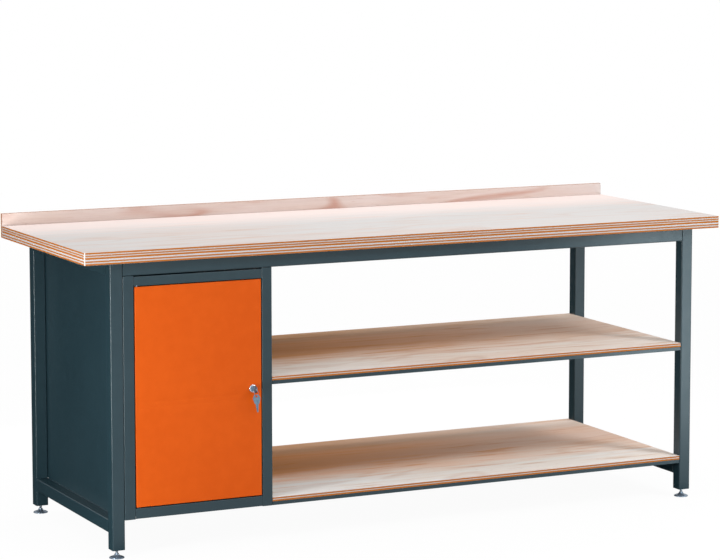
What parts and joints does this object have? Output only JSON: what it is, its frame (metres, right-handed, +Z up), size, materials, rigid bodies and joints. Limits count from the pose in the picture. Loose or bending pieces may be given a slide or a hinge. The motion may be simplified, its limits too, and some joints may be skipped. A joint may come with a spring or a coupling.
{
  "type": "workbench",
  "caption": "Workbench: plywood top with a rear upstand on a square-tube steel frame, a lockable cupboard under one end and open plywood shelves beside it.",
  "frame": {"origin": "on the floor under the middle of the bench's bounding box, which includes the key in the door", "axes": "+X along the bench from the cupboard end, +Y from the door side to the upstand, +Z up"},
  "size_m": [2, 0.7142, 0.8815],
  "materials": {
    "birch_ply": "sanded birch plywood with a matt lacquer, layered edges",
    "slate_paint": "blue-grey powder coat, semi-matt",
    "orange_paint": "orange powder coat, semi-matt",
    "zinc": "bright zinc plate",
    "chrome": "satin chrome on the lock",
    "key_metal": "dull nickel",
    "black_plastic": "moulded nylon"
  },
  "bodies": {
    "bench": {"worktop": "birch_ply", "upstand": "birch_ply", "leg_front_left": "slate_paint", "leg_rear_left": "slate_paint", "leg_front_right": "slate_paint", "leg_rear_right": "slate_paint", "top_rail_front": "slate_paint", "top_rail_rear": "slate_paint", "top_rail_left": "slate_paint", "top_rail_right": "slate_paint", "low_rail_left": "slate_paint", "low_rail_right": "slate_paint", "worktop_screw_1": "zinc", "worktop_screw_2": "zinc", "worktop_screw_3": "zinc", "worktop_screw_4": "zinc", "worktop_screw_5": "zinc", "worktop_screw_6": "zinc", "foot_insert_front_left": "black_plastic", "foot_insert_rear_left": "black_plastic", "foot_insert_front_right": "black_plastic", "foot_insert_rear_right": "black_plastic", "cupboard_left_side": "slate_paint", "cupboard_right_side": "slate_paint", "cupboard_roof": "slate_paint", "cupboard_floor": "slate_paint", "cupboard_back": "slate_paint", "inner_shelf": "slate_paint", "shelf_rest_front_left": "zinc", "shelf_rest_rear_left": "zinc", "shelf_rest_front_right": "zinc", "shelf_rest_rear_right": "zinc", "hinge_bracket_upper": "zinc", "hinge_bracket_lower": "zinc", "hinge_bush": "black_plastic", "upper_shelf_board": "birch_ply", "upper_shelf_tray": "slate_paint", "lower_shelf_board": "birch_ply", "lower_shelf_tray": "slate_paint"},
    "door": {"door_panel": "orange_paint", "door_stiffener": "slate_paint", "hinge_pin_upper": "zinc", "hinge_pin_lower": "zinc", "lock_housing": "chrome", "lock_nut": "zinc"},
    "lock": {"lock_plug": "chrome", "lock_cam": "zinc", "cam_nut": "zinc", "key": "key_metal"},
    "ring": {"key_ring": "key_metal"},
    "spare": {"spare_key": "key_metal"},
    "foot_front_left": {"foot_stem_front_left": "zinc", "foot_pad_front_left": "zinc"},
    "foot_rear_left": {"foot_stem_rear_left": "zinc", "foot_pad_rear_left": "zinc"},
    "foot_front_right": {"foot_stem_front_right": "zinc", "foot_pad_front_right": "zinc"},
    "foot_rear_right": {"foot_stem_rear_right": "zinc", "foot_pad_rear_right": "zinc"}
  },
  "joints": [
    {"name": "door_hinge", "type": "hinge", "parent": "bench", "child": "door", "pos_m": [-0.8425, -0.31895, 0.44], "axis": [0, 0, -1], "range_deg": [0, 110]},
    {"name": "lock_turn", "type": "hinge", "parent": "door", "child": "lock", "pos_m": [-0.506, -0.32515, 0.44], "axis": [0, -1, 0], "range_deg": [0, 90]},
    {"name": "ring_hang", "type": "hinge", "parent": "lock", "child": "ring", "pos_m": [-0.506, -0.35215, 0.43423], "axis": [0, -1, 0], "range_deg": [-90, 0]},
    {"name": "spare_key_swing", "type": "hinge", "parent": "ring", "child": "spare", "pos_m": [-0.506, -0.35215, 0.42299], "axis": [-0.9511, -0.309, 0], "range_deg": [-15, 60]},
    {"name": "foot_front_left_screw", "type": "slide", "parent": "bench", "child": "foot_front_left", "axis": [0, 0, -1], "range_m": [0, 0.015]},
    {"name": "foot_rear_left_screw", "type": "slide", "parent": "bench", "child": "foot_rear_left", "axis": [0, 0, -1], "range_m": [0, 0.015]},
    {"name": "foot_front_right_screw", "type": "slide", "parent": "bench", "child": "foot_front_right", "axis": [0, 0, -1], "range_m": [0, 0.015]},
    {"name": "foot_rear_right_screw", "type": "slide", "parent": "bench", "child": "foot_rear_right", "axis": [0, 0, -1], "range_m": [0, 0.015]}
  ],
  "couplings": [
    {"joint": "ring_hang", "follows": "lock_turn", "ratio": -1}
  ]
}
